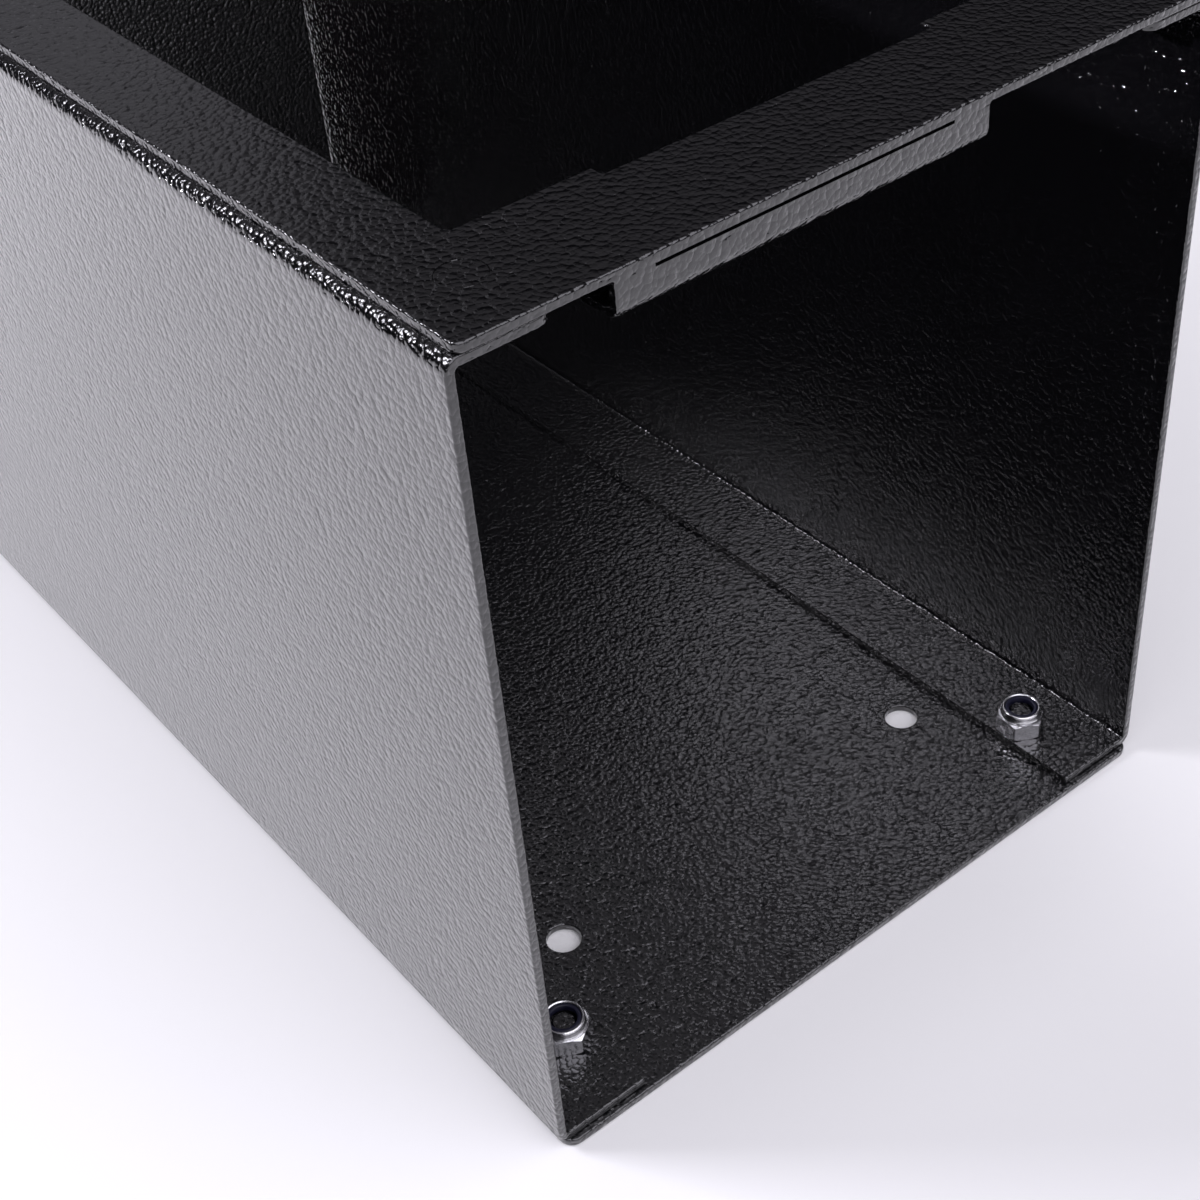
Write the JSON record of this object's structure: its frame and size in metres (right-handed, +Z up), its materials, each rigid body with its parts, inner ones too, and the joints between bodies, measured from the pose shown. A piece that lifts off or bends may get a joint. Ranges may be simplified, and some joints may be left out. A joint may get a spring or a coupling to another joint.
{
  "type": "console safe",
  "caption": "Box-shaped vehicle console safe of folded black steel sheet, open at one end, with a framed top opening, a hinged lid and a tubular cam lock with its key.",
  "frame": {"origin": "centre of the case's footprint, over the side walls' length and width, on the underside of the bottom plate", "axes": "+Z up, +X to the right across the case's width as seen from its open end, +Y from the open end to the rear wall and the hinge"},
  "size_m": [0.132, 0.3293, 0.376],
  "materials": {
    "black_coat": "textured black powder coat on steel sheet",
    "zinc": "bright zinc plate",
    "nylon": "dark blue nylon",
    "steel": "plain steel, partly coated",
    "nickel": "satin nickel plate",
    "rubber": "matte black rubber"
  },
  "bodies": {
    "case": {"bottom_plate": "black_coat", "left_wall": "black_coat", "right_wall": "black_coat", "rear_wall": "black_coat", "top_frame": "black_coat", "bottom_stud_front_left": "black_coat", "bottom_stud_rear_left": "black_coat", "bottom_stud_back_left": "black_coat", "bottom_stud_front_right": "black_coat", "bottom_stud_rear_right": "black_coat", "bottom_stud_back_right": "black_coat", "bottom_nut_front_left": "zinc", "bottom_nut_rear_left": "zinc", "bottom_nut_back_left": "zinc", "bottom_nut_front_right": "zinc", "bottom_nut_rear_right": "zinc", "bottom_nut_back_right": "zinc", "bottom_nylon_front_left": "nylon", "bottom_nylon_rear_left": "nylon", "bottom_nylon_back_left": "nylon", "bottom_nylon_front_right": "nylon", "bottom_nylon_rear_right": "nylon", "bottom_nylon_back_right": "nylon", "top_stud_front_left": "black_coat", "top_stud_rear_left": "black_coat", "top_stud_front_right": "black_coat", "top_stud_rear_right": "black_coat", "top_nut_front_left": "zinc", "top_nut_rear_left": "zinc", "top_nut_front_right": "zinc", "top_nut_rear_right": "zinc", "top_nylon_front_left": "nylon", "top_nylon_rear_left": "nylon", "top_nylon_front_right": "nylon", "top_nylon_rear_right": "nylon", "hinge_fixed_leaf": "black_coat", "hinge_pin": "steel", "fixed_leaf_rivet_1": "steel", "fixed_leaf_rivet_2": "steel", "fixed_leaf_rivet_3": "steel", "fixed_leaf_rivet_4": "steel"},
    "lid": {"lid_panel": "black_coat", "hinge_moving_leaf": "black_coat", "moving_leaf_rivet_1": "steel", "moving_leaf_rivet_2": "steel", "moving_leaf_rivet_3": "steel", "moving_leaf_rivet_4": "steel", "lid_bumper_left": "rubber", "lid_bumper_right": "rubber", "lock_housing": "nickel", "lock_ring_nut": "zinc"},
    "lock_plug": {"lock_plug": "nickel", "key": "nickel", "lock_cam": "zinc", "cam_washer": "zinc", "cam_screw": "steel"}
  },
  "joints": [
    {"name": "lid_hinge", "type": "hinge", "parent": "case", "child": "lid", "pos_m": [0, 0.114, 0.1488], "axis": [1, 0, 0], "range_deg": [0, 104]},
    {"name": "plug_turn", "type": "hinge", "parent": "lid", "child": "lock_plug", "pos_m": [0, 0.16505, 0.35353], "axis": [0, 0.9703, -0.2419], "range_deg": [-90, 0]}
  ]
}
